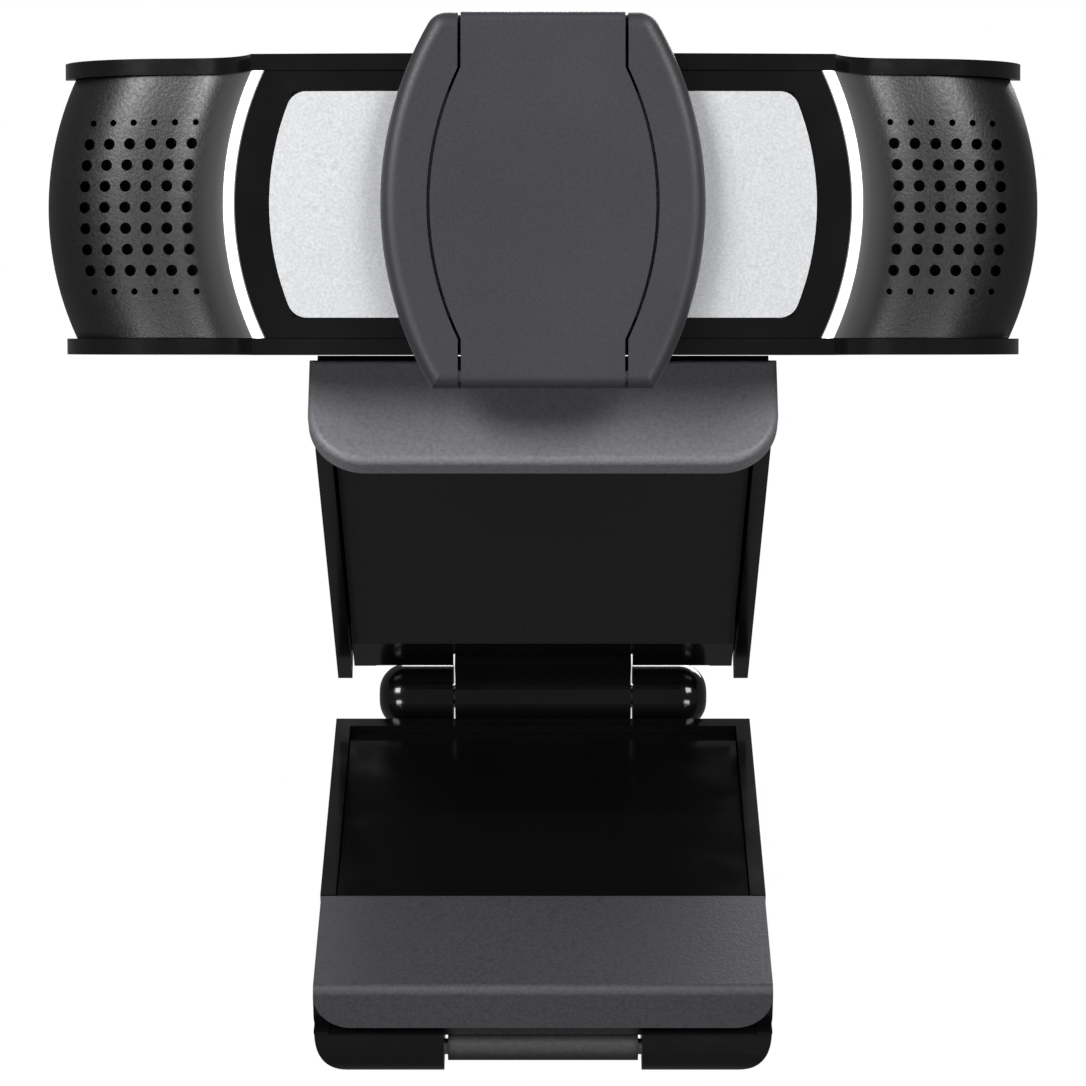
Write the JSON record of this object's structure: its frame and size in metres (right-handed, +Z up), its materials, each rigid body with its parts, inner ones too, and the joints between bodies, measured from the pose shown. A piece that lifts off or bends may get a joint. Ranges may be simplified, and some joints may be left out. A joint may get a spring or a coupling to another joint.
{
  "type": "webcam on a folding monitor clip",
  "caption": "Webcam head with lit side strips, flip-down privacy shutter and tilting neck on a folding clip with a fold-out foot and a tripod thread underneath.",
  "frame": {"origin": "centre of the rubber face under the upper jaw, where it rests on a screen's top edge", "axes": "+X to the webcam's left as it faces a person (right in a front view), +Y back away from the person, +Z up"},
  "size_m": [0.0936, 0.0657, 0.0978],
  "materials": {
    "satin_black": "satin black moulded plastic",
    "gloss_black": "gloss black plastic",
    "dark_grey": "dark grey satin plastic",
    "soft_grey": "fine-grained soft touch",
    "pad_rubber": "matte rubber",
    "silver": "fine sparkle satin",
    "light_guide": "frosted white, lit",
    "lens_glass": "coated glass",
    "steel": "plain",
    "brass": "plain",
    "board": "solder-masked board",
    "dark_part": "matte",
    "cloth": "acoustic cloth"
  },
  "bodies": {
    "jaw": {"jaw_shell": "gloss_black", "lip_cover": "soft_grey", "jaw_panel": "gloss_black", "jaw_pad": "pad_rubber", "jaw_screws": "steel", "tilt_axle": "steel", "tilt_washers": "steel"},
    "leg": {"leg_shell": "gloss_black", "leg_panel": "gloss_black", "tripod_insert": "brass", "clip_pin": "steel", "foot_pin": "steel"},
    "foot": {"foot_block": "dark_part", "foot_pad": "soft_grey"},
    "neck": {"neck_post": "satin_black", "swivel_washer": "steel", "swivel_screw": "steel"},
    "shutter": {"shutter_flap": "dark_grey"},
    "head": {"board_connector": "dark_part", "board_screws": "steel", "cable_gland": "pad_rubber", "faceplate": "gloss_black", "front_frame": "gloss_black", "grille_left": "satin_black", "grille_right": "satin_black", "heat_spreader": "silver", "image_sensor": "dark_part", "ir_filter": "lens_glass", "led_chips": "light_guide", "lens_barrel": "satin_black", "lens_elements": "lens_glass", "lens_holder": "satin_black", "lens_ring": "gloss_black", "lens_window": "lens_glass", "light_guide_left": "light_guide", "light_guide_right": "light_guide", "main_board": "board", "mic_boots": "pad_rubber", "mic_capsules": "steel", "mic_cloth_left": "cloth", "mic_cloth_right": "cloth", "rear_shell": "satin_black", "rim_lower": "gloss_black", "rim_upper": "gloss_black", "shell_screws": "steel", "shield_can": "steel", "shutter_frame": "dark_grey", "shutter_hinge_pins": "steel", "silver_panel_left": "silver", "silver_panel_right": "silver"}
  },
  "joints": [
    {"name": "clip_fold", "type": "hinge", "parent": "jaw", "child": "leg", "pos_m": [0, 0.02738, -0.0162], "axis": [1, 0, 0], "range_deg": [-56.4, 60]},
    {"name": "foot_fold", "type": "hinge", "parent": "leg", "child": "foot", "pos_m": [0, -0.01646, -0.04758], "axis": [1, 0, 0], "range_deg": [0, 95]},
    {"name": "head_tilt", "type": "hinge", "parent": "jaw", "child": "neck", "pos_m": [0, -0.01167, 0.0154], "axis": [1, 0, 0], "range_deg": [-47, 1]},
    {"name": "head_pan", "type": "hinge", "parent": "neck", "child": "head", "pos_m": [0, -0.01167, 0.0154], "axis": [0, -0.0523, 0.9986], "range_deg": [-20, 20]},
    {"name": "shutter_flip", "type": "hinge", "parent": "head", "child": "shutter", "pos_m": [0, -0.03194, 0.01509], "axis": [1, 0, 0], "range_deg": [0, 170]}
  ]
}
